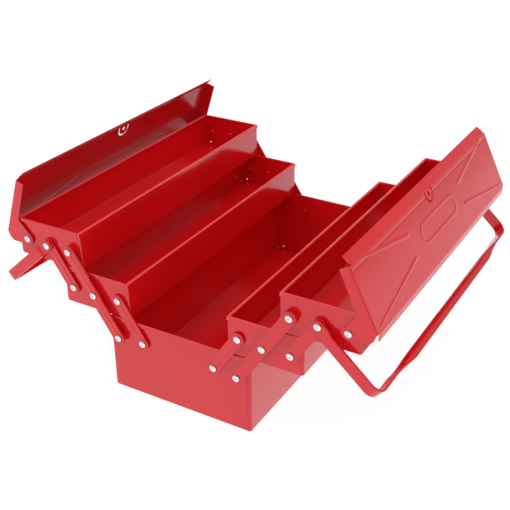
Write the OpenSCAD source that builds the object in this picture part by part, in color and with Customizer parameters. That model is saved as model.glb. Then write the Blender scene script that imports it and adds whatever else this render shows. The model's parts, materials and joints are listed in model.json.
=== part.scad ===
/* [Box] */
// Width of the base box
base_w = 200; // [190:1:240]
// Length of the base box and of every tray
box_l = 430; // [360:1:560]
// Height of the base box to its rim
base_h = 104; // [90:1:130]
// Width of one tray
tray_w = 98; // [95:0.5:118]
// Height of one tray
tray_h = 50; // [46:1:60]
// Height left between a rim and the tray above it
stack_gap = 1; // [0.5:0.5:3]
// Distance from the closed trays' inner walls to the centre plane
centre_gap = 2; // [1:0.5:4]

/* [Sheet steel] */
// Thickness of the sheet
sheet_t = 1; // [0.8:0.1:1.2]
// Outer radius of the bend along each floor edge
bend_r = 2; // [1.5:0.1:3]
// Thickness of the rolled hem on the long sides
hem_w = 3.6; // [2.6:0.1:4]
// Height of the rolled hem on the long sides
hem_h = 6; // [4:0.5:8]
// Height of the flat hem on the end panels
end_hem_h = 5; // [4:0.5:8]
// Width of the wrapped corners that show beside each end panel
corner_strip = 4.5; // [3:0.5:8]

/* [Linkage] */
// Spacing of the three pivots along a tray
pivot_pitch = 33.8; // [32:0.1:36]
// Distance from a tray's inner wall to its first pivot
pivot_inset = 15.1; // [12:0.1:20]
// Height of the pivots above a tray's underside
pivot_rise = 23.8; // [20:0.1:26]
// Width of the links
link_w = 16; // [12:0.5:18]
// Thickness of the short links
short_link_t = 2; // [1.5:0.1:2.2]
// Thickness of the long links
long_link_t = 2.5; // [2:0.1:3]
// Distance that the long links stand off the box ends
long_link_offset = 3.6; // [3:0.1:5]

/* [Rivets] */
// Diameter of the rivet shanks
rivet_d = 5; // [4:0.1:6]
// Diameter of the domed rivet heads
head_d = 9; // [7:0.1:10]
// Height of the domed rivet heads
head_h = 2.1; // [1.8:0.1:2.5]
// Outer diameter of the spacers
spacer_d = 11; // [10:0.5:14]

/* [Lids] */
// Opening angle of the right lid, 0 when shut
right_lid_open = 63.5; // [0:0.5:70]
// Opening angle of the left lid, 0 when shut
left_lid_open = 71; // [0:0.5:71]
// Height of a shut lid's top face above its pivot
lid_rise = 33; // [31:0.5:36]
// Distance from the lid pivot out to the outer crease
lid_outer_crease = 8; // [6:0.5:10]
// Distance from the lid pivot in to the inner crease
lid_inner_crease = 72; // [66:0.5:73]
// Width of the folded strip along the outer edge
outer_strip = 8.3; // [6:0.1:9]
// Width of the folded strip along the inner edge
inner_strip = 11.8; // [8:0.1:12]
// Downward angle of both folded strips
strip_angle = 28; // [20:0.5:30]

/* [Handles] */
// Distance from the handle pivot to the outside of its grip
handle_reach = 98; // [98:0.5:110]
// Width of the handle strip
handle_w = 14; // [10:0.5:16]
// Thickness of the handle strip
handle_t = 3; // [2:0.1:3]
// Angle of the handle arms below horizontal
handle_drop = 42; // [0:0.5:45]
// Outside radius of the handle's corners
handle_bend_r = 15; // [10:0.5:20]
// Length of the curled grip
grip_l = 285; // [200:1:320]

/* [Hidden] */
$fn = 48;

RIGHT = 1;
LEFT = -1;
REAR = 1;
FRONT = -1;
PAINT = "firebrick";
PLATED = "silver";

// Clearances: fit_gap inside one rigid group, run_gap between faces that move on each other
fit_gap = 0.1;
run_gap = 0.1;
shank_r = rivet_d / 2;
bore_r = shank_r + 0.05;
tail_r = shank_r + 1;
tail_h = 1.2;
hem_r = 0.9;
corner_lap = 4;
panel_low = 0.4;
hang_hole_r = 1.5;
hang_hole_inset = 12;
hang_hole_rise = 6;

// Stations along the length, measured from the middle to the rear
end_face = box_l / 2;
panel_face = end_face - sheet_t;
panel_back = end_face - 2 * sheet_t;
short_link_y = end_face + 0.4;
short_link_top = short_link_y + short_link_t;
long_link_y = end_face + long_link_offset;
long_link_top = long_link_y + long_link_t;
lid_flange_y = end_face + 1;
lid_half_l = lid_flange_y + sheet_t;
handle_tab_y = short_link_top + 0.3;
handle_arm_y = handle_tab_y + handle_t + 0.1;
handle_half_l = handle_arm_y + handle_t;

// Open linkage: each half link spans one pitch out and one tray up
stage_rise = tray_h + stack_gap;
half_link = norm([pivot_pitch, stage_rise]);
link_angle = atan2(stage_rise, pivot_pitch);
lower_x = centre_gap + 2 * pivot_pitch;
upper_x = centre_gap + 4 * pivot_pitch;
lower_z = base_h + stack_gap;
upper_z = lower_z + stage_rise;
lower_pivot_z = lower_z + pivot_rise;
upper_pivot_z = upper_z + pivot_rise;
base_pivot_z = lower_pivot_z - stage_rise;
base_inner_x = centre_gap + pivot_inset + pivot_pitch;
base_outer_x = base_inner_x + pivot_pitch;
lower_pivot_x = [for (i = [0:2]) lower_x + pivot_inset + i * pivot_pitch];
upper_pivot_x = [for (i = [0:2]) upper_x + pivot_inset + i * pivot_pitch];

// Lid details
strip_setback = 3;
strip_chamfer = 5;
corner_relief = 0.6;
lid_flange_drop = 12.5;
slot_w = 1.6;
tongue_r = 10;
tongue_hole_r = 2.8;
slot_arm = 4.5;
tongue_x = -lid_inner_crease + 5.5;

// Handle details
joggle_start = 11;
joggle_end = 17;
grip_depth = 9.5;
grip_wall = 2;
grip_r = 7.5;
grip_inner = handle_reach - handle_t - 1.5;
handle_arm_l = handle_reach - handle_bend_r;

module on_side(side) {
  if (side < 0) mirror([1, 0, 0]) children();
  else children();
}

module on_end(end) {
  if (end < 0) mirror([0, 1, 0]) children();
  else children();
}

// A flat outline drawn in X and Z, made into a plate that starts at y0 and is t thick
module plate(y0, t) {
  translate([0, y0 + t, 0]) rotate([90, 0, 0]) linear_extrude(height = t) children();
}

// An outline drawn in X and Z, extruded along the whole length l about the middle
module bar(l) {
  rotate([90, 0, 0]) linear_extrude(height = l, center = true) children();
}

// A box section with rounded lower corners, standing on the X axis
module channel_outline(w, h, r) {
  translate([-w / 2, r]) square([w, h - r]);
  translate([-w / 2 + r, 0]) square([w - 2 * r, r]);
  for (s = [-1, 1]) translate([s * (w / 2 - r), r]) circle(r = r);
}

// The floor and side walls of a folded sheet, up to the height given
module shell_profile(w, h) {
  difference() {
    channel_outline(w, h, bend_r);
    translate([0, sheet_t]) channel_outline(w - 2 * sheet_t, h, bend_r - sheet_t);
  }
}

// A hem hem_w thick with rounded top corners, its outer face at x = 0 and its top at z = 0
module hem_profile() {
  translate([-hem_w, -hem_h]) square([hem_w, hem_h - hem_r]);
  translate([hem_r - hem_w, -hem_h]) square([hem_w - 2 * hem_r, hem_h]);
  for (x = [-hem_r, hem_r - hem_w]) translate([x, -hem_r]) circle(r = hem_r);
}

// A folded sheet with hemmed sides; wrapped corners close the ends of its side walls
module shell(w, h) {
  wrap_w = corner_strip + corner_lap;
  bar(2 * panel_back) shell_profile(w, h - hem_r);
  bar(box_l) for (s = [0, 1]) mirror([s, 0]) translate([w / 2, h]) hem_profile();
  for (end = [-1, 1], s = [0, 1])
    on_end(end) mirror([s, 0, 0]) plate(panel_back - sheet_t, sheet_t)
      translate([w / 2 - wrap_w, bend_r]) square([wrap_w, h - hem_h]);
}

// One end wall with its folded hem, at the rear; pivots and hang_holes are hole positions in X
module end_panel(w, h, pivots, pivot_z, hang_holes) {
  wide = w - 2 * corner_strip;
  body_h = h - hem_h - fit_gap - panel_low;
  hem_l = w - 2 * (hem_w + fit_gap);
  difference() {
    union() {
      plate(panel_back, sheet_t) {
        translate([0, panel_low]) channel_outline(wide, body_h, bend_r - sheet_t);
        translate([-wide / 2, panel_low + bend_r]) square([wide, h - sheet_t - panel_low - bend_r]);
      }
      translate([-hem_l / 2, panel_back, h - end_hem_h])
        cube([hem_l, 2 * sheet_t, end_hem_h - sheet_t]);
      translate([0, panel_face, h - sheet_t])
        rotate([0, 90, 0]) cylinder(r = sheet_t, h = hem_l, center = true);
    }
    for (x = pivots) translate([x, panel_back - 1, pivot_z]) hole(bore_r, 4 * sheet_t);
    for (x = hang_holes) translate([x, panel_back - 1, hang_hole_rise]) hole(hang_hole_r, 4);
  }
}

// A round cutter along +Y
module hole(r, l) {
  rotate([-90, 0, 0]) cylinder(r = r, h = l);
}

// A domed rivet through the end wall and whatever lies between it and head_y, at the rear
module rivet(x, z, head_y) {
  grip = head_y - panel_back;
  dome_r = (head_d * head_d / 4 + head_h * head_h) / (2 * head_h);
  translate([x, panel_back, z]) rotate([-90, 0, 0]) rotate_extrude() {
    translate([0, -tail_h - fit_gap]) square([tail_r, tail_h]);
    translate([0, -fit_gap]) square([shank_r, grip + fit_gap]);
    intersection() {
      translate([0, grip]) square([head_d, head_h]);
      translate([0, grip + head_h - dome_r]) circle(r = dome_r);
    }
  }
}

// A spacer tube between the end wall and the piece at face_y, at the rear
module spacer(x, z, face_y) {
  l = face_y - run_gap - panel_face - fit_gap;
  translate([x, panel_face + fit_gap, z]) difference() {
    hole(spacer_d / 2, l);
    translate([0, -1, 0]) hole(bore_r, l + 2);
  }
}

// The base box
module base_shell() {
  color(PAINT) shell(base_w, base_h);
}

module base_end(end) {
  pivots = [for (s = [-1, 1], x = [base_inner_x, base_outer_x]) s * x];
  hang = end == REAR ? [hang_hole_inset - base_w / 2, base_w / 2 - hang_hole_inset] : [];
  color(PAINT) on_end(end) end_panel(base_w, base_h, pivots, base_pivot_z, hang);
}

module base_rivets() {
  color(PLATED) for (end = [FRONT, REAR], side = [LEFT, RIGHT]) on_end(end) on_side(side) {
    rivet(base_inner_x, base_pivot_z, short_link_top + run_gap);
    rivet(base_outer_x, base_pivot_z, long_link_top + run_gap);
  }
}

module base_spacers() {
  color(PAINT) for (end = [FRONT, REAR], side = [LEFT, RIGHT]) on_end(end) on_side(side) {
    spacer(base_inner_x, base_pivot_z, short_link_y);
    spacer(base_outer_x, base_pivot_z, long_link_y);
  }
}

// The trays: x is the inner wall, z the underside
module tray_shell(side, x, z) {
  color(PAINT) on_side(side) translate([x + tray_w / 2, 0, z]) shell(tray_w, tray_h);
}

module tray_end(side, end, x, z) {
  pivots = [for (i = [0:2]) pivot_inset + i * pivot_pitch - tray_w / 2];
  hang = end == REAR ? [tray_w / 2 - hang_hole_inset] : [];
  color(PAINT) on_side(side) on_end(end) translate([x + tray_w / 2, 0, z])
    end_panel(tray_w, tray_h, pivots, pivot_rise, hang);
}

module lower_tray_rivets(side) {
  color(PLATED) on_side(side) for (end = [FRONT, REAR]) on_end(end) {
    rivet(lower_pivot_x[0], lower_pivot_z, short_link_top + run_gap);
    rivet(lower_pivot_x[1], lower_pivot_z, long_link_top + run_gap);
    rivet(lower_pivot_x[2], lower_pivot_z, short_link_top + run_gap);
  }
}

module lower_tray_spacers(side) {
  color(PAINT) on_side(side) for (end = [FRONT, REAR]) on_end(end) {
    spacer(lower_pivot_x[0], lower_pivot_z, short_link_y);
    spacer(lower_pivot_x[1], lower_pivot_z, long_link_y);
    spacer(lower_pivot_x[2], lower_pivot_z, short_link_y);
  }
}

module upper_tray_rivets(side) {
  color(PLATED) on_side(side) for (end = [FRONT, REAR]) on_end(end) {
    rivet(upper_pivot_x[0], upper_pivot_z, long_link_top + run_gap);
    rivet(upper_pivot_x[1], upper_pivot_z, handle_tab_y + handle_t + run_gap);
    rivet(upper_pivot_x[2], upper_pivot_z, lid_half_l + run_gap);
  }
}

module upper_tray_spacers(side) {
  color(PAINT) on_side(side) for (end = [FRONT, REAR]) on_end(end) {
    spacer(upper_pivot_x[0], upper_pivot_z, long_link_y);
    spacer(upper_pivot_x[1], upper_pivot_z, short_link_y);
    spacer(upper_pivot_x[2], upper_pivot_z, lid_flange_y);
  }
}

// A flat link with round ends; it starts at (x, z), leans out at the open angle
// and has one hole per half link
module link(side, end, x, z, halves, y0, t) {
  color(PAINT) on_side(side) on_end(end) plate(y0, t)
    translate([x, z]) rotate(link_angle) difference() {
      union() {
        translate([0, -link_w / 2]) square([halves * half_link, link_w]);
        for (i = [0, halves]) translate([i * half_link, 0]) circle(d = link_w);
      }
      for (i = [0:halves]) translate([i * half_link, 0]) circle(r = bore_r);
    }
}

module long_link(side, end) {
  link(side, end, base_outer_x, base_pivot_z, 2, long_link_y, long_link_t);
}

module inner_link(side, end) {
  link(side, end, base_inner_x, base_pivot_z, 1, short_link_y, short_link_t);
}

module outer_link(side, end) {
  link(side, end, lower_pivot_x[2], lower_pivot_z, 1, short_link_y, short_link_t);
}

// The section of a lid: the top panel and the two folded strips, as one folded sheet
module lid_profile() {
  drop = [cos(strip_angle), -sin(strip_angle)];
  under = sheet_t * [sin(strip_angle), cos(strip_angle)];
  mitre = sheet_t * tan(strip_angle / 2);
  outer_crease = [lid_outer_crease, lid_rise];
  inner_crease = [-lid_inner_crease, lid_rise];
  outer_edge = outer_crease + outer_strip * drop;
  inner_edge = inner_crease + inner_strip * [-drop.x, drop.y];
  polygon([
    inner_crease, outer_crease, outer_edge, outer_edge - under,
    outer_crease - [mitre, sheet_t], inner_crease + [mitre, -sheet_t],
    inner_edge + [under.x, -under.y], inner_edge
  ]);
}

// The lug at each end of a lid: a narrow flange that widens to the pivot
module lid_flange_outline() {
  difference() {
    union() {
      polygon([
        [lid_outer_crease - corner_relief, lid_rise], [corner_relief - lid_inner_crease, lid_rise],
        [corner_relief - lid_inner_crease, lid_rise - lid_flange_drop],
        [-19.5, lid_rise - lid_flange_drop - 1.5], [-7.5, 0], [0, -7], [6.5, -4],
        [15.5, 20], [13, 26]
      ]);
      circle(r = link_w / 2);
    }
    circle(r = bore_r);
  }
}

// A tongue with a round tip, seen from above, with its root towards -X
module tongue_outline(r) {
  circle(r = r);
  translate([-2 * tongue_r, -r]) square([2 * tongue_r, 2 * r]);
}

// The slot that frees the padlock tongue, and the hole in the tongue
module tongue_slot() {
  difference() {
    tongue_outline(tongue_r + slot_w / 2);
    tongue_outline(tongue_r - slot_w / 2);
    translate([-3 * tongue_r - slot_arm, -2 * tongue_r]) square([3 * tongue_r, 4 * tongue_r]);
  }
  circle(r = tongue_hole_r);
}

// The folded sheet seen from above, with its strips' ends cut back
module lid_plan() {
  end_y = lid_half_l - strip_setback;
  far_y = end_y - 2 * strip_chamfer;
  far_x = [-lid_inner_crease - 2 * inner_strip, lid_outer_crease + 2 * inner_strip];
  polygon([
    [far_x[0], far_y], [-lid_inner_crease, end_y], [lid_outer_crease, end_y], [far_x[1], far_y],
    [far_x[1], -far_y], [lid_outer_crease, -end_y], [-lid_inner_crease, -end_y], [far_x[0], -far_y]
  ]);
}

// A shut lid with its pivot on the Y axis
module lid_body() {
  panel_w = lid_outer_crease + lid_inner_crease - 2 * corner_relief;
  difference() {
    union() {
      intersection() {
        bar(2 * lid_half_l) lid_profile();
        linear_extrude(height = 2 * lid_rise) lid_plan();
      }
      bar(2 * lid_half_l) translate([corner_relief - lid_inner_crease, lid_rise - sheet_t])
        square([panel_w, sheet_t]);
      for (end = [FRONT, REAR]) on_end(end) plate(lid_flange_y, sheet_t) lid_flange_outline();
    }
    translate([tongue_x, 0, lid_rise - 2 * sheet_t]) linear_extrude(height = 3 * sheet_t)
      tongue_slot();
  }
}

module lid(side, open) {
  color(PAINT) on_side(side) translate([upper_pivot_x[2], 0, upper_pivot_z])
    rotate([0, open, 0]) lid_body();
}

// Places what is drawn with the arms level and the pivot on the Y axis
module at_handle(side) {
  color(PAINT) on_side(side) translate([upper_pivot_x[1], 0, upper_pivot_z])
    rotate([0, handle_drop, 0]) children();
}

// One arm's edge outline: pivot tab, joggle and straight arm
module handle_arm_outline() {
  translate([0, handle_tab_y]) square([joggle_start, handle_t]);
  polygon([
    [joggle_start, handle_tab_y], [joggle_end, handle_arm_y],
    [joggle_end, handle_half_l], [joggle_start, handle_tab_y + handle_t]
  ]);
  translate([joggle_end, handle_arm_y]) square([handle_arm_l - joggle_end, handle_t]);
}

// One rounded corner's edge outline
module handle_corner_outline() {
  translate([handle_arm_l, handle_half_l - handle_bend_r]) intersection() {
    difference() {
      circle(r = handle_bend_r);
      circle(r = handle_bend_r - handle_t);
    }
    square(handle_bend_r);
  }
}

// The grip's curled section, drawn with the pivot to the left
module grip_outline() {
  hollow_r = grip_r - grip_wall;
  difference() {
    union() {
      translate([grip_inner + grip_r, 0]) circle(r = grip_r);
      translate([grip_inner + grip_r, -grip_r]) square([grip_depth - grip_r, 2 * grip_r]);
    }
    translate([grip_inner + grip_r, 0]) circle(r = hollow_r);
    translate([grip_inner + grip_r, -hollow_r]) square([2 * grip_r, 2 * hollow_r]);
    translate([grip_inner + grip_depth, -grip_r]) square([grip_r, 2 * grip_r]);
  }
}

module handle_arm(side, end) {
  at_handle(side) on_end(end) difference() {
    union() {
      linear_extrude(height = handle_w, center = true) handle_arm_outline();
      translate([0, handle_tab_y, 0]) hole(handle_w / 2, handle_t);
    }
    translate([0, handle_tab_y - handle_t, 0]) hole(bore_r, 3 * handle_t);
  }
}

module handle_corner(side, end) {
  at_handle(side) on_end(end)
    linear_extrude(height = handle_w, center = true) handle_corner_outline();
}

// The flat strip between the corners, with the curled grip in its middle
module handle_grip(side) {
  flat_l = handle_half_l - handle_bend_r - grip_l / 2;
  at_handle(side) {
    bar(grip_l) grip_outline();
    for (end = [FRONT, REAR]) on_end(end)
      translate([handle_reach - handle_t, grip_l / 2 - handle_t, -handle_w / 2])
        cube([handle_t, flat_l + handle_t, handle_w]);
  }
}

base_shell();
base_end(FRONT);  // base_front_end
base_end(REAR);  // base_rear_end
base_rivets();
base_spacers();
tray_shell(RIGHT, lower_x, lower_z);  // right_lower_tray_shell
tray_end(RIGHT, FRONT, lower_x, lower_z);  // right_lower_tray_front_end
tray_end(RIGHT, REAR, lower_x, lower_z);  // right_lower_tray_rear_end
lower_tray_rivets(RIGHT);  // right_lower_tray_rivets
lower_tray_spacers(RIGHT);  // right_lower_tray_spacers
tray_shell(RIGHT, upper_x, upper_z);  // right_upper_tray_shell
tray_end(RIGHT, FRONT, upper_x, upper_z);  // right_upper_tray_front_end
tray_end(RIGHT, REAR, upper_x, upper_z);  // right_upper_tray_rear_end
upper_tray_rivets(RIGHT);  // right_upper_tray_rivets
upper_tray_spacers(RIGHT);  // right_upper_tray_spacers
long_link(RIGHT, FRONT);  // right_front_long_link
long_link(RIGHT, REAR);  // right_rear_long_link
inner_link(RIGHT, FRONT);  // right_front_inner_link
inner_link(RIGHT, REAR);  // right_rear_inner_link
outer_link(RIGHT, FRONT);  // right_front_outer_link
outer_link(RIGHT, REAR);  // right_rear_outer_link
lid(RIGHT, right_lid_open);  // right_lid
handle_arm(RIGHT, FRONT);  // right_handle_front_arm
handle_arm(RIGHT, REAR);  // right_handle_rear_arm
handle_corner(RIGHT, FRONT);  // right_handle_front_corner
handle_corner(RIGHT, REAR);  // right_handle_rear_corner
handle_grip(RIGHT);  // right_handle_grip
tray_shell(LEFT, lower_x, lower_z);  // left_lower_tray_shell
tray_end(LEFT, FRONT, lower_x, lower_z);  // left_lower_tray_front_end
tray_end(LEFT, REAR, lower_x, lower_z);  // left_lower_tray_rear_end
lower_tray_rivets(LEFT);  // left_lower_tray_rivets
lower_tray_spacers(LEFT);  // left_lower_tray_spacers
tray_shell(LEFT, upper_x, upper_z);  // left_upper_tray_shell
tray_end(LEFT, FRONT, upper_x, upper_z);  // left_upper_tray_front_end
tray_end(LEFT, REAR, upper_x, upper_z);  // left_upper_tray_rear_end
upper_tray_rivets(LEFT);  // left_upper_tray_rivets
upper_tray_spacers(LEFT);  // left_upper_tray_spacers
long_link(LEFT, FRONT);  // left_front_long_link
long_link(LEFT, REAR);  // left_rear_long_link
inner_link(LEFT, FRONT);  // left_front_inner_link
inner_link(LEFT, REAR);  // left_rear_inner_link
outer_link(LEFT, FRONT);  // left_front_outer_link
outer_link(LEFT, REAR);  // left_rear_outer_link
lid(LEFT, left_lid_open);  // left_lid
handle_arm(LEFT, FRONT);  // left_handle_front_arm
handle_arm(LEFT, REAR);  // left_handle_rear_arm
handle_corner(LEFT, FRONT);  // left_handle_front_corner
handle_corner(LEFT, REAR);  // left_handle_rear_corner
handle_grip(LEFT);  // left_handle_grip
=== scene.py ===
import json
import math

import bmesh
import bpy
from mathutils import Matrix, Vector


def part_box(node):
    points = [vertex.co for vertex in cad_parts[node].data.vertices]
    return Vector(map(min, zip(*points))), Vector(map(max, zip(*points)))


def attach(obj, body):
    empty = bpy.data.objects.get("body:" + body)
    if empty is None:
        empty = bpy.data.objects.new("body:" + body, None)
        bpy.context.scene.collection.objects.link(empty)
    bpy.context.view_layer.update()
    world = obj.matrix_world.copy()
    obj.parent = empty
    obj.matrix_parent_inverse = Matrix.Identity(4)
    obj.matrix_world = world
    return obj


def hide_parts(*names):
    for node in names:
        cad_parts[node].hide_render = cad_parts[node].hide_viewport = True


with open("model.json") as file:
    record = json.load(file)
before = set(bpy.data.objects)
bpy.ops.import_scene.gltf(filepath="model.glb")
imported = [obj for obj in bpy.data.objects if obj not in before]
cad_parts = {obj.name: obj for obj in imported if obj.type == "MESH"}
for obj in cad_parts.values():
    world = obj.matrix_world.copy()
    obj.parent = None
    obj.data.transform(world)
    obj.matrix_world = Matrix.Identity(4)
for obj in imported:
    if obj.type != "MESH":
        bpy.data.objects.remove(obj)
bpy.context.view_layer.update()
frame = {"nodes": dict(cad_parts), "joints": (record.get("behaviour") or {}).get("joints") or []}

# ---------------------------------------------------------------- sizes of the CAD part, in mm
MM = 0.001
SHEET = 1.0            # thickness of the sheet steel
BEND_R = 2.0           # outer radius of the folds along each floor edge
BASE_HALF_W, TRAY_HALF_W = 100.0, 49.0
HEM_W, HEM_H = 3.6, 6.0
END_HEM_H = 5.0
CORNER, CORNER_LAP = 4.5, 4.0    # a wrapped corner's width that shows, and how far it runs on behind
END_Y = 215.0          # half the length of the box
PANEL_BACK = END_Y - 2 * SHEET
PANEL_FACE = END_Y - SHEET
PANEL_LOW = 0.4        # gap under an end panel
SHORT_LINK_Y, SHORT_LINK_T = END_Y + 0.4, 2.0
LONG_LINK_Y, LONG_LINK_T = END_Y + 3.6, 2.5
HANDLE_TAB_Y = SHORT_LINK_Y + SHORT_LINK_T + 0.3
HANDLE_T, HANDLE_W = 3.0, 14.0
HANDLE_ARM_Y = HANDLE_TAB_Y + HANDLE_T + 0.1
LINK_W = 16.0
SHANK_R, HEAD_R, HEAD_H = 2.5, 4.5, 2.1
HOLE_R = SHANK_R + 0.05
HEAD_GAP = 0.1         # between a rivet's head and what it holds
LID_TOP, LID_OUT, LID_IN = 33.0, 8.0, 72.0
LID_Y = END_Y + 2 * SHEET
OUTER_STRIP, INNER_STRIP, STRIP_ANGLE = 8.3, 11.8, 28.0
STRIP_SETBACK = 3.0    # from the lid's end to a folded strip's end
TONGUE_X, TONGUE_R, TONGUE_HOLE_R = -LID_IN + 5.5, 10.0, 2.8
HANG_INSET, HANG_Z = 12.0, 6.0   # a hanging hole, from its rear end's corner and from the floor
HANDLE_REACH, HANDLE_BEND_R, HANDLE_DROP = 98.0, 15.0, 42.0
GRIP_R, GRIP_WALL = 7.5, 2.0
GRIP_ARM = 2.0         # straight edge on each side of the curled grip
GRIP_INNER = HANDLE_REACH - HANDLE_T - 1.5
LID_OPEN = {"right": 63.5, "left": 71.0}

# ---------------------------------------------------------------- sizes of the visual model's own, in mm
WRAP_FACE = PANEL_FACE - 0.35    # outer face of the wrapped corners, just behind the panel's face
WRAP_LOW = BEND_R * 0.6          # where a wrapped corner starts above the floor
CORNER_R = 1.3         # outer radius of the wrapped corners
PANEL_CORNER_R = 1.0   # radius of an end panel's lower corners
HEM_CUT = 1.2          # how far a rolled hem is cut back at its inner corner
HEM_TUCK = 0.6         # how far in from the wall a rolled hem's lower edge ends
HEM_FLARE = 0.25       # how far an end hem stands off its panel
END_HEM_LAP = 0.4      # how far an end hem overlaps the side hems
RIM_BAND = 2.8         # height of the paler band on a rim, which stands in for the light it catches
HANG_R = 1.1           # radius of a hanging hole
TAIL_R, TAIL_H = 4.2, 2.2
HEAD_SIDE = 1.2        # height of a head's side, below its crown
STRIP_TAPER = 0.2      # how much shorter a folded strip gets per mm of its width
NOTCH_W, NOTCH_D = 2.4, 3.0      # the notch where a strip's end meets the panel
SLOT_HALF_W = 1.2      # half the width of the slot round the padlock tongue
GRIP_FADE, GRIP_FULL = 180.0, 130.0   # where the curl starts and where it is full, from the middle
JOGGLE_START, JOGGLE_END = 10.5, 17.5   # where a handle's arm steps out past its tab

PIVOT = {j["name"]: [c / MM for c in j["pos_m"]] for j in frame["joints"]}


# ---------------------------------------------------------------- mesh helpers
# A form is (points in mm, faces as lists of point numbers).
def merged(*forms):
    points, faces = [], []
    for form_points, form_faces in forms:
        start = len(points)
        points += form_points
        faces += [[i + start for i in face] for face in form_faces]
    return points, faces


def mapped(form, where):
    return [where(*p) for p in form[0]], form[1]


def moved(form, dx=0.0, dy=0.0, dz=0.0):
    return mapped(form, lambda x, y, z: (x + dx, y + dy, z + dz))


def both_ends(form):
    return merged(form, mapped(form, lambda x, y, z: (x, -y, z)))


def tilted(form, degrees, px, pz):
    """Turns a form about the Y axis as a lid opens or a handle drops, then moves it to a pivot."""
    c, s = math.cos(math.radians(degrees)), math.sin(math.radians(degrees))
    return mapped(form, lambda x, y, z: (x * c + z * s + px, y, -x * s + z * c + pz))


def arc(cx, cy, r, start, stop, steps=6):
    angles = [math.radians(start + (stop - start) * k / steps) for k in range(steps + 1)]
    return [(cx + r * math.cos(a), cy + r * math.sin(a)) for a in angles]


def smooth(edge0, edge1, value):
    t = min(max((value - edge0) / (edge1 - edge0), 0.0), 1.0)
    return t * t * (3 - 2 * t)


def offset(path, d):
    """The path moved sideways by d, with mitred corners."""
    out = []
    for i, point in enumerate(path):
        here = Vector(point)
        before = (here - Vector(path[i - 1])).normalized() if i else None
        after = (Vector(path[i + 1]) - here).normalized() if i + 1 < len(path) else None
        before, after = before or after, after or before
        along = (before + after).normalized()
        k = d / max(along.dot(before), 0.5)
        out.append((here.x - along.y * k, here.y + along.x * k))
    return out


def folded(path, thick, low, high, place):
    """A sheet along a 2-D path; low(p) and high(p) say where its two ends are at each point of the path."""
    sides = offset(path, thick / 2), offset(path, -thick / 2)
    n = len(path)
    points = []
    for end in (low, high):
        for side in sides:
            points += [place(side[i], end(path[i])) for i in range(n)]
    at = lambda end, side, i: (end * 2 + side) * n + i
    faces = []
    for i in range(n - 1):
        faces.append([at(0, 0, i), at(0, 0, i + 1), at(1, 0, i + 1), at(1, 0, i)])
        faces.append([at(0, 1, i), at(1, 1, i), at(1, 1, i + 1), at(0, 1, i + 1)])
        faces.append([at(0, 0, i), at(0, 1, i), at(0, 1, i + 1), at(0, 0, i + 1)])
        faces.append([at(1, 0, i), at(1, 0, i + 1), at(1, 1, i + 1), at(1, 1, i)])
    for i in (0, n - 1):
        faces.append([at(0, 0, i), at(1, 0, i), at(1, 1, i), at(0, 1, i)])
    return points, faces


def plate(outline, holes, y0, thick):
    """A flat plate in X and Z with real holes, from y0 to y0 + thick."""
    bm = bmesh.new()
    edges = []
    for loop in [outline, *holes]:
        ring = [bm.verts.new((x, y0, z)) for x, z in loop]
        edges += [bm.edges.new((a, b)) for a, b in zip(ring, ring[1:] + ring[:1])]
    bmesh.ops.triangle_fill(bm, edges=edges, use_beauty=True)
    grown = bmesh.ops.extrude_face_region(bm, geom=bm.faces[:])
    new = [g for g in grown["geom"] if isinstance(g, bmesh.types.BMVert)]
    bmesh.ops.translate(bm, verts=new, vec=(0, thick, 0))
    bm.verts.index_update()
    form = [tuple(v.co) for v in bm.verts], [[v.index for v in f.verts] for f in bm.faces]
    bm.free()
    return form


def circle(x, z, r, steps=24):
    return arc(x, z, r, 0, 360 - 360 / steps, steps - 1)


def turned(profile, x, z, steps=28):
    """A turned form about an axis along Y through (x, z); profile is (radius, y) with 0 at both ends."""
    points = [(x, profile[0][1], z), (x, profile[-1][1], z)]
    rings = profile[1:-1]
    for r, y in rings:
        for k in range(steps):
            a = 2 * math.pi * k / steps
            points.append((x + r * math.cos(a), y, z + r * math.sin(a)))
    faces = []
    last = 2 + (len(rings) - 1) * steps
    for k in range(steps):
        m = (k + 1) % steps
        faces.append([0, 2 + k, 2 + m])
        faces.append([1, last + m, last + k])
        for j in range(len(rings) - 1):
            a, b = 2 + j * steps, 2 + (j + 1) * steps
            faces.append([a + k, b + k, b + m, a + m])
    return points, faces


def scratch(form):
    mesh = bpy.data.meshes.new("scratch")
    mesh.from_pydata([Vector(p) for p in form[0]], [], form[1])
    bm = bmesh.new()
    bm.from_mesh(mesh)
    bmesh.ops.recalc_face_normals(bm, faces=bm.faces)
    bm.to_mesh(mesh)
    bm.free()
    obj = bpy.data.objects.new("scratch", mesh)
    bpy.context.scene.collection.objects.link(obj)
    return obj


def cut(form, cutter):
    """The form with the cutter taken out of it."""
    body, tool = scratch(form), scratch(cutter)
    mod = body.modifiers.new("cut", "BOOLEAN")
    mod.object, mod.operation, mod.solver = tool, "DIFFERENCE", "EXACT"
    shown = body.evaluated_get(bpy.context.evaluated_depsgraph_get())
    mesh = shown.to_mesh()
    result = [tuple(v.co) for v in mesh.vertices], [list(p.vertices) for p in mesh.polygons]
    shown.to_mesh_clear()
    for obj in (body, tool):
        data = obj.data
        bpy.data.objects.remove(obj)
        bpy.data.meshes.remove(data)
    return result


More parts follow.
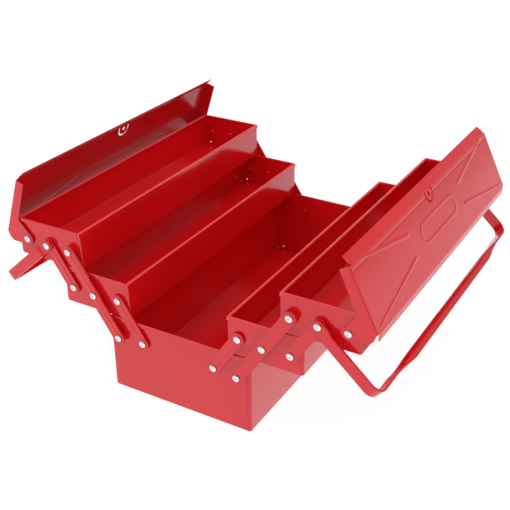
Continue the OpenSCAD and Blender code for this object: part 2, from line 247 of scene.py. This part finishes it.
def make(name, form, body, nodes, materials, bevel=0.0, pick=None):
    """Turns a form into a piece that rides on a body and stands for CAD nodes.

    pick(centre in mm, normal) gives the index of a face's material; without it every face has the first.
    """
    bm = bmesh.new()
    verts = [bm.verts.new([c * MM for c in p]) for p in form[0]]
    for face in form[1]:
        bm.faces.new([verts[i] for i in face])
    bmesh.ops.recalc_face_normals(bm, faces=bm.faces)
    for face in bm.faces:
        face.smooth = True
        if pick:
            face.material_index = pick(face.calc_center_median() / MM, face.normal)
    for edge in bm.edges:
        edge.smooth = edge.calc_face_angle(0.0) < math.radians(30)
    mesh = bpy.data.meshes.new(name)
    bm.to_mesh(mesh)
    bm.free()
    obj = bpy.data.objects.new(name, mesh)
    bpy.context.scene.collection.objects.link(obj)
    for material in materials:
        mesh.materials.append(material)
    if bevel:
        mod = obj.modifiers.new("edges", "BEVEL")
        mod.width, mod.segments = bevel * MM, 3
        mod.limit_method, mod.angle_limit = "ANGLE", math.radians(40)
        mod.harden_normals = True
    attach(obj, body)
    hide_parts(*nodes)
    return obj


# ---------------------------------------------------------------- materials
def shader(name):
    material = bpy.data.materials.new(name)
    material.use_nodes = True
    return material, material.node_tree, material.node_tree.nodes["Principled BSDF"]


def noise(tree, coords, scale, detail=2.0):
    node = tree.nodes.new("ShaderNodeTexNoise")
    node.inputs["Scale"].default_value = scale
    node.inputs["Detail"].default_value = detail
    tree.links.new(coords.outputs["Object"], node.inputs["Vector"])
    return node


def ramp(tree, source, low, high, start=0.3, stop=0.7):
    node = tree.nodes.new("ShaderNodeValToRGB")
    node.color_ramp.elements[0].position = start
    node.color_ramp.elements[1].position = stop
    node.color_ramp.elements[0].color = (*low, 1)
    node.color_ramp.elements[1].color = (*high, 1)
    tree.links.new(source, node.inputs["Fac"])
    return node


def ranged(tree, source, low, high):
    node = tree.nodes.new("ShaderNodeMapRange")
    node.inputs["From Min"].default_value = 0.3
    node.inputs["From Max"].default_value = 0.7
    node.inputs["To Min"].default_value = low
    node.inputs["To Max"].default_value = high
    tree.links.new(source, node.inputs["Value"])
    return node


def bumped(tree, bsdf, layers):
    """Chains bump nodes, from the broadest to the finest: (height output, strength, distance)."""
    last = None
    for height, strength, distance in layers:
        node = tree.nodes.new("ShaderNodeBump")
        node.inputs["Strength"].default_value = strength
        node.inputs["Distance"].default_value = distance
        tree.links.new(height, node.inputs["Height"])
        if last:
            tree.links.new(last.outputs["Normal"], node.inputs["Normal"])
        last = node
    tree.links.new(last.outputs["Normal"], bsdf.inputs["Normal"])
    return last


def enamel(name, deep, bright, rough, ior=1.62):
    material, tree, bsdf = shader(name)
    coords = tree.nodes.new("ShaderNodeTexCoord")
    broad = noise(tree, coords, 7.0)
    fine = noise(tree, coords, 260.0, 3.0)
    peel = noise(tree, coords, 900.0, 1.0)
    wave = noise(tree, coords, 14.0, 1.0)
    colour = ramp(tree, broad.outputs["Fac"], deep, bright)
    tree.links.new(colour.outputs["Color"], bsdf.inputs["Base Color"])
    gloss = ranged(tree, fine.outputs["Fac"], rough, rough + 0.07)
    tree.links.new(gloss.outputs["Result"], bsdf.inputs["Roughness"])
    bsdf.inputs["IOR"].default_value = ior
    bsdf.inputs["Specular Tint"].default_value = (0.88, 0.88, 1.0, 1)
    bsdf.inputs["Coat Weight"].default_value = 0.1
    bsdf.inputs["Coat Roughness"].default_value = 0.06
    last = bumped(tree, bsdf, [
        (wave.outputs["Fac"], 0.25, 0.0008),
        (peel.outputs["Fac"], 0.05, 0.0001),
    ])
    tree.links.new(last.outputs["Normal"], bsdf.inputs["Coat Normal"])
    return material


def plating(name, dark, light, rough):
    material, tree, bsdf = shader(name)
    coords = tree.nodes.new("ShaderNodeTexCoord")
    mottle = noise(tree, coords, 420.0, 3.0)
    colour = ramp(tree, mottle.outputs["Fac"], dark, light)
    tree.links.new(colour.outputs["Color"], bsdf.inputs["Base Color"])
    gloss = ranged(tree, mottle.outputs["Fac"], rough, rough + 0.08)
    tree.links.new(gloss.outputs["Result"], bsdf.inputs["Roughness"])
    bsdf.inputs["Metallic"].default_value = 1.0
    bumped(tree, bsdf, [(mottle.outputs["Fac"], 0.15, 0.0001)])
    return material


RED = enamel("red_enamel_gloss", (0.69, 0.004, 0.007), (0.73, 0.006, 0.010), 0.13)
RED_LINK = enamel("red_enamel_links", (0.69, 0.004, 0.007), (0.73, 0.006, 0.010), 0.11)
# A paler, pinker copy of the red enamel for the top band of each rim: a painted highlight standing in for
# the light a rolled rim catches.
RED_RIM_PAINTED_HIGHLIGHT = enamel("red_enamel_rim_painted_highlight", (0.78, 0.055, 0.055), (0.84, 0.07, 0.07), 0.20)
# A darker, less reflective copy of the red enamel for the lids' downward faces: painted shade on their
# undersides.
RED_UNDERSIDE_PAINTED_SHADE = enamel("red_enamel_underside_painted_shade", (0.48, 0.003, 0.006), (0.53, 0.005, 0.009), 0.16, 1.36)
ZINC = plating("bright_zinc_heads", (0.74, 0.74, 0.76), (0.92, 0.92, 0.93), 0.07)
# A dark zinc for the heads' sides and dimples: painted shade for the dark ring and grey centre that
# reflections and shade give a domed head.
ZINC_PAINTED_SHADE = plating("zinc_painted_shade_ring", (0.22, 0.20, 0.21), (0.32, 0.29, 0.30), 0.30)


# ---------------------------------------------------------------- boxes and trays
def bar(outline, reach):
    """A closed outline in X and Z along Y; reach(x, z) says how far each point runs either way."""
    n = len(outline)
    points = [(x, sign * reach(x, z), z) for sign in (-1, 1) for x, z in outline]
    faces = [[i, (i + 1) % n, n + (i + 1) % n, n + i] for i in range(n)]
    return points, faces + [list(range(n)), list(range(n, 2 * n))]


def mirrored(form):
    return merged(form, mapped(form, lambda x, y, z: (-x, y, z)))


def shell(w, h):
    """Floor, side walls, wrapped corners and rolled hems of a box w wide and h high, standing on Z 0."""
    wall = w / 2 - SHEET / 2
    hem_r = HEM_W / 2
    hem_x, hem_z = w / 2 - hem_r, h - hem_r
    half = arc(w / 2 - BEND_R, BEND_R, BEND_R - SHEET / 2, -90, 0)
    half += [(wall, h - HEM_H)]
    path = [(-x, z) for x, z in reversed(half)] + half
    turn_r = CORNER_R - SHEET / 2
    flat = WRAP_FACE - CORNER_R
    above_floor = SHEET / 2 + 0.01
    body_reach = lambda p: flat if p[1] > above_floor else WRAP_FACE
    body = folded(path, SHEET, lambda p: -body_reach(p), body_reach, lambda p, y: (p[0], y, p[1]))
    turn = arc(wall - turn_r, flat, turn_r, 0, 90) + [(w / 2 - CORNER - CORNER_LAP, WRAP_FACE - SHEET / 2)]
    wrap = folded(turn, SHEET, lambda p: WRAP_LOW, lambda p: h - HEM_W / 2, lambda p, z: (p[0], p[1], z))
    hem = arc(hem_x, hem_z, hem_r, 0, 180, 14)
    hem += [(w / 2 - HEM_W, h - HEM_H + 1.0), (w / 2 - SHEET - HEM_TUCK, h - HEM_H), (w / 2, h - HEM_H)]

    def reach(x, z):
        return END_Y - HEM_CUT * max(hem_x - x, 0) / HEM_W * (1 + (h - z) / HEM_H)

    return merged(body, both_ends(mirrored(wrap)), mirrored(bar(hem, reach)))


def end_wall(w, h, pivots, pivot_z, hang_holes):
    """The rear end wall with its folded hem and its rivet holes."""
    wide, narrow = w / 2 - CORNER, w / 2 - HEM_W + END_HEM_LAP
    r = PANEL_CORNER_R
    half = arc(wide - r, PANEL_LOW + r, r, -90, 0, 4) + [(wide, h - SHEET)]
    outline = half + [(-x, z) for x, z in reversed(half)]
    holes = [circle(x, pivot_z, HOLE_R) for x in pivots]
    holes += [circle(x, z, HANG_R) for x, z in hang_holes]
    wall = plate(outline, holes, PANEL_BACK, SHEET)
    turn_z = h - SHEET
    path = arc(PANEL_FACE + HEM_FLARE / 2, turn_z, SHEET / 2 + HEM_FLARE / 2, 180, 0, 8)
    hem_y = PANEL_FACE + SHEET / 2 + HEM_FLARE
    path += [(hem_y, turn_z - 1.0), (hem_y, h - END_HEM_H)]
    hem = folded(path, SHEET, lambda p: -narrow, lambda p: narrow, lambda p, x: (x, p[0], p[1]))
    return merged(wall, hem)


def at_end(form, end, side=1):
    """Takes a form made for the rear end and the right side to either end and side."""
    return mapped(form, lambda x, y, z: (x * side, y * end, z))


ENDS = {"front": -1, "rear": 1}
SIDES = {"right": 1, "left": -1}


def box_of(node):
    low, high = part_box(node)
    return [c / MM for c in low], [c / MM for c in high]


def make_container(prefix, body, pivots, pivot_z, hang_x):
    low, high = box_of(prefix + "_shell")
    w, h = high[0] - low[0], high[2] - low[2]
    cx, z0 = (low[0] + high[0]) / 2, low[2]
    form = moved(shell(w, h), cx, 0, z0)
    # Faces in the top RIM_BAND of the shell take the paler enamel, a painted highlight on the rim.
    make(prefix + "_folded_shell", form, body, [prefix + "_shell"], [RED, RED_RIM_PAINTED_HIGHLIGHT],
         bevel=0.25, pick=lambda c, normal: int(c.z > z0 + h - RIM_BAND))
    for end, sign in ENDS.items():
        hang = [(x, HANG_Z) for x in hang_x] if end == "rear" else []
        form = end_wall(w, h, [x - cx for x in pivots], pivot_z - z0, hang)
        form = moved(at_end(form, sign), cx, 0, z0)
        make(f"{prefix}_{end}_hemmed_end", form, body, [f"{prefix}_{end}_end"], [RED],
             bevel=0.3)


DIMPLE = ((0.0, 0.42), (0.35, 0.4), (0.6, 0.3), (0.85, 0.04))   # radius, depth below the head's top
DIMPLE_SEEN = 0.75     # how far out from the axis the painted shade on the dimple reaches
CROWN_STEPS = (0.28, 0.4, 0.52, 0.64, 0.76, 0.88, 1.0)
TAIL_GAP = 0.1         # between the end wall and the tail
TAIL_STEPS = ((0.2, TAIL_GAP), (0.0, 0.3), (0.1, 1.2), (0.7, 1.8), (2.0, 2.1))  # in from the rim, depth


def rivet(x, z, seat):
    """A domed rivet: head outside the seat, tail inside the end wall."""
    rim, crown, side = HEAD_R - 0.35, HEAD_H - HEAD_SIDE, seat + HEAD_SIDE
    profile = [(r, seat + HEAD_H - depth) for r, depth in DIMPLE]
    profile += [(rim * t, side + crown * (1 - t * t)) for t in CROWN_STEPS]
    profile += [(HEAD_R - 0.12, side - 0.18), (HEAD_R, side - 0.5), (HEAD_R, seat + 0.25),
                (HEAD_R - 0.25, seat), (SHANK_R, seat), (SHANK_R, PANEL_BACK - TAIL_GAP)]
    profile += [(TAIL_R - inset, PANEL_BACK - depth) for inset, depth in TAIL_STEPS]
    return turned(profile + [(0, PANEL_BACK - TAIL_H)], x, z)


def make_rivets(prefix, body, seats):
    form = merged(*[both_ends(rivet(x, z, seat)) for x, z, seat in seats])

    def pick(c, normal):
        if abs(c.y) < PANEL_FACE:
            return 1
        off, seat = min((math.hypot(c.x - x, c.z - z), seat) for x, z, seat in seats)
        # The head's side and its dimple take the dark zinc, painted shade.
        return 2 if off < DIMPLE_SEEN or abs(c.y) < seat + HEAD_SIDE - 0.1 else 0

    make(prefix + "_domed_rivets", form, body, [prefix + "_rivets"],
         [ZINC, RED, ZINC_PAINTED_SHADE], pick=pick)


SHORT_SEAT = SHORT_LINK_Y + SHORT_LINK_T + HEAD_GAP
LONG_SEAT = LONG_LINK_Y + LONG_LINK_T + HEAD_GAP
TAB_SEAT = HANDLE_TAB_Y + HANDLE_T + HEAD_GAP
LID_SEAT = LID_Y + HEAD_GAP

inner = [abs(PIVOT["right_inner_link_pivot"][0]), PIVOT["right_inner_link_pivot"][2]]
outer = [abs(PIVOT["right_fold"][0]), PIVOT["right_fold"][2]]
pitch = outer[0] - inner[0]
make_container("base", "base", [s * x for s in (-1, 1) for x in (inner[0], outer[0])], outer[1],
               [HANG_INSET - BASE_HALF_W, BASE_HALF_W - HANG_INSET])
make_rivets("base", "base", [(s * x, outer[1], seat) for s in (-1, 1)
                             for x, seat in ((inner[0], SHORT_SEAT), (outer[0], LONG_SEAT))])
for side, sign in SIDES.items():
    for level, joint, seats in (("lower", "lower_tray_pivot", (SHORT_SEAT, LONG_SEAT, SHORT_SEAT)),
                                ("upper", "upper_tray_pivot", (LONG_SEAT, TAB_SEAT, LID_SEAT))):
        px, _, pz = PIVOT[f"{side}_{joint}"]
        first = abs(px) - (pitch if level == "lower" else 0)
        xs = [sign * (first + k * pitch) for k in range(3)]
        prefix = f"{side}_{level}_tray"
        make_container(prefix, prefix, xs, pz, [sign * (TRAY_HALF_W - HANG_INSET)])
        make_rivets(prefix, prefix, [(x, pz, seat) for x, seat in zip(xs, seats)])


# ---------------------------------------------------------------- links
BEAD_END, BEAD_RISE = 7.4, 0.7   # from a pivot to the bead's end, and the bead's height
BEAD_FLAT, BEAD_WIDE = 0.6, 2.8  # distances from the bead's line at which it starts to fall and is flat
LINK_STEP = 1.4        # spacing of the stations along a link


def link(length, thick, beads):
    """A flat link with round ends lying along X from 0, with pressed beads between its pivots."""
    r = LINK_W / 2
    tips = [90 * k / 9 for k in range(1, 10)]
    stations = [(-r * math.cos(math.radians(a)), r * math.sin(math.radians(a))) for a in tips]
    steps = int(length / LINK_STEP)
    stations += [(length * k / steps, r) for k in range(1, steps)]
    stations += [(length + r * math.cos(math.radians(a)), r * math.sin(math.radians(a)))
                 for a in reversed(tips)]
    across = [-1, -0.9, -0.7, -0.5, -0.4, -0.34, -0.28, -0.23, -0.18, -0.13, -0.07, 0]
    across += [-u for u in reversed(across[:-1])]

    def rise(x, u):
        best = 0.0
        for a, b in beads:
            along = max(a - x, 0, x - b)
            d = math.hypot(along, u)
            best = max(best, BEAD_RISE * (1 - smooth(BEAD_FLAT, BEAD_WIDE, d)))
        return best

    n = len(across)
    points, faces = [(-r, 0, 0), (-r, thick, 0)], []
    for level in (0, 1):
        for x, half in stations:
            for u in across:
                points.append((x, level * (thick + rise(x, u * half)), u * half))
    points += [(length + r, 0, 0), (length + r, thick, 0)]
    m = len(stations)
    at = lambda level, i, j: 2 + (level * m + i) * n + j
    for level in (0, 1):
        for i in range(m - 1):
            for j in range(n - 1):
                faces.append([at(level, i, j), at(level, i + 1, j),
                              at(level, i + 1, j + 1), at(level, i, j + 1)])
        for j in range(n - 1):
            faces.append([level, at(level, 0, j), at(level, 0, j + 1)])
            faces.append([len(points) - 2 + level, at(level, m - 1, j + 1), at(level, m - 1, j)])
    for j in (0, n - 1):
        for i in range(m - 1):
            faces.append([at(0, i, j), at(0, i + 1, j), at(1, i + 1, j), at(1, i, j)])
        faces.append([0, at(0, 0, j), at(1, 0, j), 1])
        faces.append([len(points) - 2, at(0, m - 1, j), at(1, m - 1, j), len(points) - 1])
    return points, faces


base_x, _, base_z = PIVOT["right_fold"]
upper_x, _, upper_z = PIVOT["right_upper_tray_pivot"]
span = math.hypot(upper_x - base_x, upper_z - base_z)
lean = math.atan2(upper_z - base_z, upper_x - base_x)
half_span = span / 2
BEADS = [(BEAD_END, half_span - BEAD_END), (half_span + BEAD_END, span - BEAD_END)]


def make_link(kind, side, end, start, length, y0, thick):
    c, s = math.cos(lean), math.sin(lean)
    px, pz = start
    form = link(length, thick, BEADS if length > half_span + 1 else BEADS[:1])
    form = mapped(form, lambda x, y, z: (px + x * c - z * s, y0 + y, pz + x * s + z * c))
    form = at_end(form, ENDS[end], SIDES[side])
    make(f"{side}_{end}_{kind}_beaded_link", form, f"{side}_{kind}_links",
         [f"{side}_{end}_{kind}_link"], [RED_LINK], bevel=0.35)


outer_start = PIVOT["right_outer_link_pivot"][0], PIVOT["right_outer_link_pivot"][2]
for side in SIDES:
    for end in ENDS:
        make_link("long", side, end, (base_x, base_z), span, LONG_LINK_Y, LONG_LINK_T)
        make_link("inner", side, end, inner, half_span, SHORT_LINK_Y, SHORT_LINK_T)
        make_link("outer", side, end, outer_start, half_span, SHORT_LINK_Y, SHORT_LINK_T)


# ---------------------------------------------------------------- lids
def line_distance(x, y, a, b):
    ax, ay = a
    dx, dy = b[0] - ax, b[1] - ay
    t = min(max(((x - ax) * dx + (y - ay) * dy) / (dx * dx + dy * dy), 0), 1)
    return math.hypot(x - ax - t * dx, y - ay - t * dy)


RIBS = [((-48.0, 83.0), (-70.0, 196.0)), ((-20.0, 83.0), (2.0, 204.0))]
RIB_WIDE, RIB_NARROW, RIB_RISE = 2.7, 1.4, 0.8   # half widths at a rib's two ends, and its height
RIB_FADE = 0.4         # share of its height that a rib loses towards its narrow end
MARK_X, MARK_Y, MARK_HALF, MARK_R = -33.0, 2.0, 43.0, 11.5
MARK_RISE, MARK_W = 0.4, 2.0
CREASE_X, CREASE_DIP, CREASE_W = 6.5 - LID_IN, 0.3, 1.8
INSIDE_PRESS = 0.2     # the pressing is fainter on the inside
PANEL_STEPS = 76       # stations across the lid's panel
LID_SPAN, LID_STEPS = 200.0, 240      # half the length with even stations, and their number
LID_TAIL = (0.25, 0.5, 0.75, 1.0)     # stations from there to the lid's end, as shares
STRIP_STEPS = 5


def pressed(x, y):
    """How far the lid's panel is pressed out at a point, by four ribs, a plain ring and a shallow crease."""
    rise = 0.0
    for a, b in RIBS:
        t = min(max((abs(y) - a[1]) / (b[1] - a[1]), 0.0), 1.0)
        d = line_distance(x, abs(y), a, b)
        wide = RIB_WIDE + (RIB_NARROW - RIB_WIDE) * t
        rise = max(rise, RIB_RISE * (1 - RIB_FADE * t) * (1 - smooth(0.2, wide, d)))
    d = abs(math.hypot(x - MARK_X, max(abs(y - MARK_Y) - MARK_HALF, 0)) - MARK_R)
    rise += MARK_RISE * (1 - smooth(0.3, MARK_W, d))
    return rise - CREASE_DIP * (1 - smooth(0.2, CREASE_W, abs(x - CREASE_X)))


def lid_path():
    """The lid's section at mid sheet from its outer to its inner edge, as (x, z, nx, nz, on the panel)."""
    a = math.radians(STRIP_ANGLE)
    r = 2 * SHEET - SHEET / 2
    cz = LID_TOP - 2 * SHEET
    c, s = math.cos(a), math.sin(a)
    out = []
    for k in (5, 3, 1):
        t = OUTER_STRIP * k / STRIP_STEPS
        out.append((LID_OUT + r * s + t * c - SHEET / 2 * s, cz + r * c - t * s, s, c, False))
    for k in range(5):
        b = a * (1 - k / 4)
        out.append((LID_OUT + r * math.sin(b), cz + r * math.cos(b), math.sin(b), math.cos(b), False))
    for k in range(1, PANEL_STEPS):
        out.append((LID_OUT - (LID_OUT + LID_IN) * k / PANEL_STEPS, LID_TOP - SHEET / 2, 0.0, 1.0, True))
    for k in range(5):
        b = a * k / 4
        out.append((-LID_IN - r * math.sin(b), cz + r * math.cos(b), -math.sin(b), math.cos(b), False))
    for k in range(1, STRIP_STEPS + 1):
        t = INNER_STRIP * k / STRIP_STEPS
        out.append((-LID_IN - r * s - t * c + SHEET / 2 * s, cz + r * c - t * s, -s, c, False))
    return out


def lid_sheet():
    """The lid's folded and pressed sheet, without its end lugs, with the panel level."""
    path = lid_path()
    flat = LID_Y - BEND_R
    strip_end = LID_Y - STRIP_SETBACK
    ys = [-LID_SPAN + 2 * LID_SPAN * k / LID_STEPS for k in range(LID_STEPS + 1)]

    def stations(index):
        x, z, nx, nz, on_panel = path[index]
        reach = flat if on_panel else strip_end
        if not on_panel:
            away = max(x - LID_OUT, -LID_IN - x, 0)
            reach -= away * STRIP_TAPER + NOTCH_D * max(1 - away / NOTCH_W, 0)
        rest = [LID_SPAN + (reach - LID_SPAN) * t for t in LID_TAIL]
        return [-y for y in reversed(rest)] + ys + rest

    points, faces = [], []
    rows = [stations(i) for i in range(len(path))]
    m, n = len(path), len(rows[0])
    for skin in (1, -1):
        for i, (x, z, nx, nz, on_panel) in enumerate(path):
            for y in rows[i]:
                rise = pressed(x, y) if on_panel else 0.0
                lift = skin * SHEET / 2 + rise * (1.0 if skin > 0 else INSIDE_PRESS)
                points.append((x + nx * lift, y, z + nz * lift))
    at = lambda skin, i, j: (skin * m + i) * n + j
    for skin in (0, 1):
        for i in range(m - 1):
            for j in range(n - 1):
                faces.append([at(skin, i, j), at(skin, i + 1, j),
                              at(skin, i + 1, j + 1), at(skin, i, j + 1)])
    for j in (0, n - 1):
        for i in range(m - 1):
            faces.append([at(0, i, j), at(0, i + 1, j), at(1, i + 1, j), at(1, i, j)])
    for i in (0, m - 1):
        for j in range(n - 1):
            faces.append([at(0, i, j), at(0, i, j + 1), at(1, i, j + 1), at(1, i, j)])
    return points, faces


def tongue_cutter():
    """The slot round the padlock tongue, and the hole in the tongue, as a form that cuts the lid."""
    x0, r, w, root = TONGUE_X, TONGUE_R, SLOT_HALF_W, -LID_IN + 1.0
    bow = arc(x0, 0, r + w, -90, 90, 20) + [(root, r + w), (root, r - w)] + arc(x0, 0, r - w, 90, -90, 20)
    bow += [(root, -r + w), (root, -r - w)]
    slab = lambda outline: mapped(plate(outline, [], 0, 14), lambda x, y, z: (x, z, LID_TOP - 10 + y))
    return merged(slab(bow), slab(circle(x0, 0, TONGUE_HOLE_R)))


def lid_lug():
    """The lid's end: the bend and the flange down to the pivot."""
    left, right = 0.6 - LID_IN, LID_OUT - 0.6
    turn = LID_TOP - BEND_R
    bend = folded(arc(LID_Y - BEND_R, turn, BEND_R - SHEET / 2, 90, 0), SHEET,
                  lambda p: left, lambda p: right, lambda p, x: (x, p[0], p[1]))
    outline = [(right, turn), (left, turn), (left, LID_TOP - 12.5), (-19.5, LID_TOP - 14.0)]
    outline += [(-17.5, LID_TOP - 15.5)] + arc(0, 0, LINK_W / 2, 186, 330, 14) + [(15.3, 20.0), (13.0, 26.0)]
    flange = plate(outline, [circle(0, 0, HOLE_R)], LID_Y - SHEET, SHEET)
    return both_ends(merged(bend, flange))


lid_form = merged(cut(lid_sheet(), tongue_cutter()), lid_lug())
for side, sign in SIDES.items():
    px, _, pz = PIVOT[f"{side}_lid_hinge"]
    form = tilted(lid_form, LID_OPEN[side], abs(px), pz)
    swing = math.radians(LID_OPEN[side])
    up = Vector((sign * math.sin(swing), 0.0, math.cos(swing)))
    # Faces turned down, away from the lid's top, take the darker enamel, painted shade on the underside.
    make(f"{side}_lid_pressed_panel", at_end(form, 1, sign), f"{side}_lid", [f"{side}_lid"],
         [RED, RED_UNDERSIDE_PAINTED_SHADE], pick=lambda c, normal: int(normal.dot(up) < -0.3))


# ---------------------------------------------------------------- handles
def strip_section(curl, half):
    """The strip's cross-section as (across, outward), from flat at curl 0 to a half tube at curl 1."""
    steps = 12
    mid = GRIP_R - GRIP_WALL / 2
    developed = GRIP_ARM + math.pi / 2 * mid
    centre = GRIP_INNER + GRIP_R - (HANDLE_REACH - HANDLE_T / 2)

    def tube(t, r):
        s = abs(t) * developed
        if s < math.pi / 2 * mid:
            a = s / mid
            return math.copysign(r * math.sin(a), t), centre - r * math.cos(a)
        return math.copysign(r, t), centre + s - math.pi / 2 * mid

    loop = []
    for face, r in ((-1, GRIP_R), (1, GRIP_R - GRIP_WALL)):
        ts = [-1 + 2 * k / steps for k in range(steps + 1)]
        for t in ts if face < 0 else reversed(ts):
            flat = (half * t, face * HANDLE_T / 2)
            round_ = tube(t, r)
            loop.append(tuple(f + (g - f) * curl for f, g in zip(flat, round_)))
    return loop


TIP_STEPS = 7          # stations round a handle's tip


def handle_form():
    """One handle with its arms level along X, pivoting on the Y axis."""
    tab, arm = HANDLE_TAB_Y + HANDLE_T / 2, HANDLE_ARM_Y + HANDLE_T / 2
    half = HANDLE_W / 2
    line = []
    for k in range(1, TIP_STEPS + 1):
        a = math.radians(90 * k / TIP_STEPS)
        line.append((-half * math.cos(a), tab, 0.0, half * math.sin(a)))
    line.append((9.0, tab, 0.0, half))
    for k in range(7):
        t = k / 6
        x = JOGGLE_START + (JOGGLE_END - JOGGLE_START) * t
        line.append((x, tab + (arm - tab) * smooth(0, 1, t), 0.0, half))
    line.append((50.0, arm, 0.0, half))
    corner_x = HANDLE_REACH - HANDLE_BEND_R
    corner_y = arm + HANDLE_T / 2 - HANDLE_BEND_R
    for x, y in arc(corner_x, corner_y, HANDLE_BEND_R - HANDLE_T / 2, 90, 0, 12):
        line.append((x, y, 0.0, half))
    grip_x = HANDLE_REACH - HANDLE_T / 2
    line.append((grip_x, 188.0, 0.0, half))
    for k in range(13):
        y = GRIP_FADE + (GRIP_FULL - GRIP_FADE) * k / 12
        line.append((grip_x, y, smooth(GRIP_FADE, GRIP_FULL, y), half))
    line += [(grip_x, y, 1.0, half) for y in (110.0, 80.0, 40.0)]
    line += [(x, -y, c, h) for x, y, c, h in reversed(line)]
    line.insert(len(line) // 2, (grip_x, 0.0, 1.0, half))
    points, rings = [], []
    for i, (x, y, curl, wide) in enumerate(line):
        before = Vector(line[max(i - 1, 0)][:2])
        after = Vector(line[min(i + 1, len(line) - 1)][:2])
        along = (after - before).normalized()
        out = Vector((-along.y, along.x))
        if i < TIP_STEPS:
            out = Vector((0.0, 1.0))
        if i >= len(line) - TIP_STEPS:
            out = Vector((0.0, -1.0))
        rings.append(len(points))
        for across, outward in strip_section(curl, wide):
            points.append((x + out.x * outward, y + out.y * outward, across))
    n = len(strip_section(0, half))
    faces = [[rings[0] + k for k in range(n)], [rings[-1] + k for k in range(n)]]
    for a, b in zip(rings, rings[1:]):
        faces += [[a + k, a + (k + 1) % n, b + (k + 1) % n, b + k] for k in range(n)]
    return points, faces


handle = handle_form()
for side, sign in SIDES.items():
    px, _, pz = PIVOT[f"{side}_handle_hinge"]
    form = tilted(handle, HANDLE_DROP, abs(px), pz)
    nodes = [f"{side}_handle_{part}" for part in
             ("front_arm", "rear_arm", "front_corner", "rear_corner", "grip")]
    make(f"{side}_handle_curled_strip", at_end(form, 1, sign), f"{side}_handle", nodes,
         [RED_LINK])


# ---------------------------------------------------------------- CAD nodes that stay
for name, obj in frame["nodes"].items():
    if name.endswith("_spacers"):
        obj.data.materials.clear()
        obj.data.materials.append(RED)


# ---------------------------------------------------------------- floor, light and camera
def floor_material():
    """A pale floor that also glows, so that it stays white and lends the enamel its haze."""
    material, tree, bsdf = shader("pale_floor")
    coords = tree.nodes.new("ShaderNodeTexCoord")
    faint = noise(tree, coords, 2.0)
    colour = ramp(tree, faint.outputs["Fac"], (0.07, 0.07, 0.07), (0.09, 0.09, 0.09))
    tree.links.new(colour.outputs["Color"], bsdf.inputs["Base Color"])
    bsdf.inputs["Roughness"].default_value = 0.8
    bsdf.inputs["Specular IOR Level"].default_value = 0.1
    bsdf.inputs["Emission Color"].default_value = (1, 1, 1, 1)
    bsdf.inputs["Emission Strength"].default_value = 0.96
    return material


FLOOR_HALF, FLOOR_Z = 6.0, -0.0004   # in metres
floor_mesh = bpy.data.meshes.new("studio_floor")
floor_corners = [(x * FLOOR_HALF, y * FLOOR_HALF, FLOOR_Z)
                 for x, y in ((-1, -1), (1, -1), (1, 1), (-1, 1))]
floor_mesh.from_pydata(floor_corners, [], [(0, 1, 2, 3)])
floor = bpy.data.objects.new("studio_floor", floor_mesh)
floor_mesh.materials.append(floor_material())
bpy.context.scene.collection.objects.link(floor)

world = bpy.data.worlds.new("studio")
bpy.context.scene.world = world
world.use_nodes = True
world.node_tree.nodes["Background"].inputs["Color"].default_value = (1.0, 1.0, 1.0, 1)
world.node_tree.nodes["Background"].inputs["Strength"].default_value = 0.50


def softbox(name, place, aim, size, power):
    light = bpy.data.lights.new(name, "AREA")
    light.shape, light.size, light.energy = "DISK", size, power
    obj = bpy.data.objects.new(name, light)
    obj.location = place
    obj.rotation_mode = "QUATERNION"
    obj.rotation_quaternion = (Vector(aim) - Vector(place)).to_track_quat("-Z", "Y")
    bpy.context.scene.collection.objects.link(obj)


softbox("key_softbox", (-1.1, -1.6, 1.7), (0.0, 0.0, 0.1), 1.4, 11)
softbox("fill_softbox", (1.8, -0.6, 1.5), (0.1, 0.0, 0.1), 1.6, 4)
softbox("top_softbox", (0.2, -0.1, 2.2), (0.0, 0.0, 0.0), 2.4, 21)

AZIMUTH, ELEVATION, ROLL = math.radians(30.2), math.radians(28.3), math.radians(-0.36)
TARGET, DISTANCE = Vector((-0.0132, -0.0080, 0.1134)), 1.250
back = Vector((math.sin(AZIMUTH) * math.cos(ELEVATION), -math.cos(AZIMUTH) * math.cos(ELEVATION),
               math.sin(ELEVATION)))
camera_data = bpy.data.cameras.new("camera")
camera_data.lens, camera_data.sensor_width = 65.0, 36.0
camera = bpy.data.objects.new("camera", camera_data)
camera.location = TARGET + back * DISTANCE
camera.rotation_mode = "QUATERNION"
turn = (-back).to_track_quat("-Z", "Y").to_matrix()
camera.rotation_quaternion = (turn @ Matrix.Rotation(ROLL, 3, "Z")).to_quaternion()
bpy.context.scene.collection.objects.link(camera)
bpy.context.scene.camera = camera
bpy.context.scene.view_settings.view_transform = "Standard"
